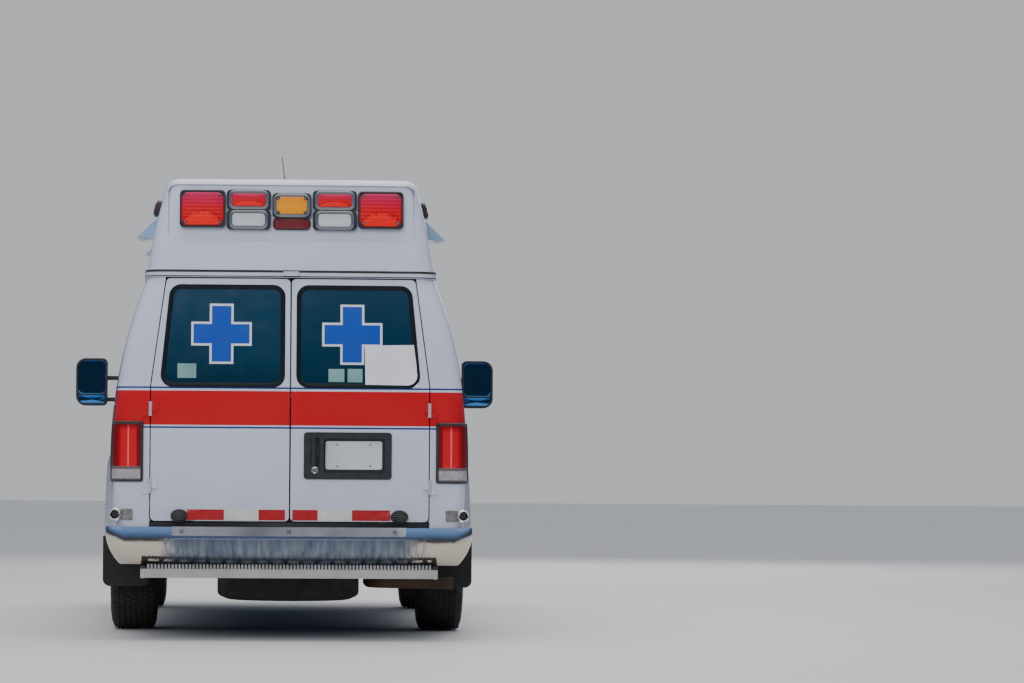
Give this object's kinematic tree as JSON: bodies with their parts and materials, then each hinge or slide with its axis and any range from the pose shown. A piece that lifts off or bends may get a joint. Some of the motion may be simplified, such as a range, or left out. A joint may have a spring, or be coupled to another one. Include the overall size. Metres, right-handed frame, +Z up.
{
  "type": "van ambulance with raised roof",
  "caption": "High-roof van ambulance: hollow body with opening cab, side and rear doors, hood, steered front wheels, rear step and lamp bank on the raised roof.",
  "frame": {"origin": "centre of the vehicle's box at ground level, where the tyres stand", "axes": "+Y forward, +X to the vehicle's right, +Z up"},
  "size_m": [2.638, 6.012, 2.798],
  "materials": {
    "white_paint": "gloss",
    "black_paint": "satin",
    "chassis_black": "matt",
    "roof_white": "gloss gelcoat",
    "chrome": "polished",
    "tread_plate": "brushed",
    "steel": "dull",
    "cast": "rough",
    "glass": "tinted",
    "red_lens": "clear moulded lens",
    "clear_lens": "clear moulded lens",
    "amber_lens": "clear moulded lens",
    "black_plastic": "grained",
    "grey_plastic": "grained",
    "laminate": "satin",
    "vinyl": "soft vinyl",
    "tyre": "matt rubber",
    "rim": "satin",
    "rubber": "matt"
  },
  "bodies": {
    "root": {"chassis_frame": "chassis_black", "cross_members": "chassis_black", "floor_pan": "chassis_black", "side_left": "white_paint", "side_right": "white_paint", "rear_sill": "white_paint", "raised_roof": "roof_white", "cab_front": "white_paint", "cowl_panel": "black_plastic", "front_panels": "white_paint", "grille": "black_plastic", "headlamps": "clear_lens", "front_bumper": "chrome", "rear_bumper": "chrome", "rear_step": "tread_plate", "tail_lamps": "red_lens", "red_lamps": "red_lens", "clear_lamps": "clear_lens", "amber_lamp": "amber_lens", "scene_lights": "chrome", "antenna": "black_plastic", "windscreen": "glass", "bulkhead": "laminate", "bench": "vinyl", "cabinet": "laminate", "cab_seats": "vinyl", "dashboard": "grey_plastic", "engine_block": "cast", "front_axle": "cast", "rear_axle": "cast", "fuel_tank": "steel", "exhaust": "steel", "spare_wheel": "tyre", "mud_flaps": "rubber"},
    "hood": {"hood": "white_paint"},
    "cab_door_right": {"cab_door_right": "white_paint", "cab_glass_right": "glass", "mirror_right": "black_plastic"},
    "cab_door_left": {"cab_door_left": "white_paint", "cab_glass_left": "glass", "mirror_left": "black_plastic"},
    "side_door_front": {"side_door_front": "white_paint", "side_glass_front": "glass"},
    "side_door_rear": {"side_door_rear": "white_paint", "side_glass_rear": "glass"},
    "rear_door_right": {"rear_door_right": "white_paint", "rear_glass_right": "glass", "plate_housing": "black_plastic"},
    "rear_door_left": {"rear_door_left": "white_paint", "rear_glass_left": "glass"},
    "knuckle_right": {"knuckle_right": "cast"},
    "knuckle_left": {"knuckle_left": "cast"},
    "wheel_front_right": {"rim_front_right": "rim", "tyre_front_right": "tyre"},
    "wheel_front_left": {"rim_front_left": "rim", "tyre_front_left": "tyre"},
    "wheel_rear_right": {"rim_rear_right": "rim", "tyre_rear_right": "tyre"},
    "wheel_rear_left": {"rim_rear_left": "rim", "tyre_rear_left": "tyre"}
  },
  "joints": [
    {"name": "hood_hinge", "type": "hinge", "parent": "root", "child": "hood", "pos_m": [0, 2.047, 1.277], "axis": [1, 0, 0], "range_deg": [0, 55]},
    {"name": "cab_door_right_hinge", "type": "hinge", "parent": "root", "child": "cab_door_right", "pos_m": [1.0125, 1.683, 0.925], "axis": [0, 0, 1], "range_deg": [0, 68]},
    {"name": "cab_door_left_hinge", "type": "hinge", "parent": "root", "child": "cab_door_left", "pos_m": [-1.0125, 1.683, 0.925], "axis": [0, 0, -1], "range_deg": [0, 68]},
    {"name": "side_door_front_hinge", "type": "hinge", "parent": "root", "child": "side_door_front", "pos_m": [1.0175, 0.618, 0.925], "axis": [0, 0, 1], "range_deg": [0, 90]},
    {"name": "side_door_rear_hinge", "type": "hinge", "parent": "root", "child": "side_door_rear", "pos_m": [1.0175, -0.503, 0.925], "axis": [0, 0, -1], "range_deg": [0, 90]},
    {"name": "rear_door_right_hinge", "type": "hinge", "parent": "root", "child": "rear_door_right", "pos_m": [0.749, -2.829, 1.03], "axis": [0, 0, 1], "range_deg": [0, 165]},
    {"name": "rear_door_left_hinge", "type": "hinge", "parent": "root", "child": "rear_door_left", "pos_m": [-0.749, -2.829, 1.03], "axis": [0, 0, -1], "range_deg": [0, 165]},
    {"name": "steer_right", "type": "hinge", "parent": "root", "child": "knuckle_right", "pos_m": [0.7995, 2.146, 0.387], "axis": [0, 0, 1], "range_deg": [-32, 32]},
    {"name": "steer_left", "type": "hinge", "parent": "root", "child": "knuckle_left", "pos_m": [-0.7995, 2.146, 0.387], "axis": [0, 0, 1], "range_deg": [-32, 32]},
    {"name": "spin_front_right", "type": "hinge", "parent": "knuckle_right", "child": "wheel_front_right", "pos_m": [0.8815, 2.146, 0.387], "axis": [1, 0, 0], "continuous": true},
    {"name": "spin_rear_right", "type": "hinge", "parent": "root", "child": "wheel_rear_right", "pos_m": [0.8625, -1.359, 0.387], "axis": [1, 0, 0], "continuous": true},
    {"name": "spin_front_left", "type": "hinge", "parent": "knuckle_left", "child": "wheel_front_left", "pos_m": [-0.8815, 2.146, 0.387], "axis": [1, 0, 0], "continuous": true},
    {"name": "spin_rear_left", "type": "hinge", "parent": "root", "child": "wheel_rear_left", "pos_m": [-0.8625, -1.359, 0.387], "axis": [1, 0, 0], "continuous": true}
  ],
  "couplings": [
    {"joint": "steer_left", "follows": "steer_right", "ratio": 1}
  ]
}
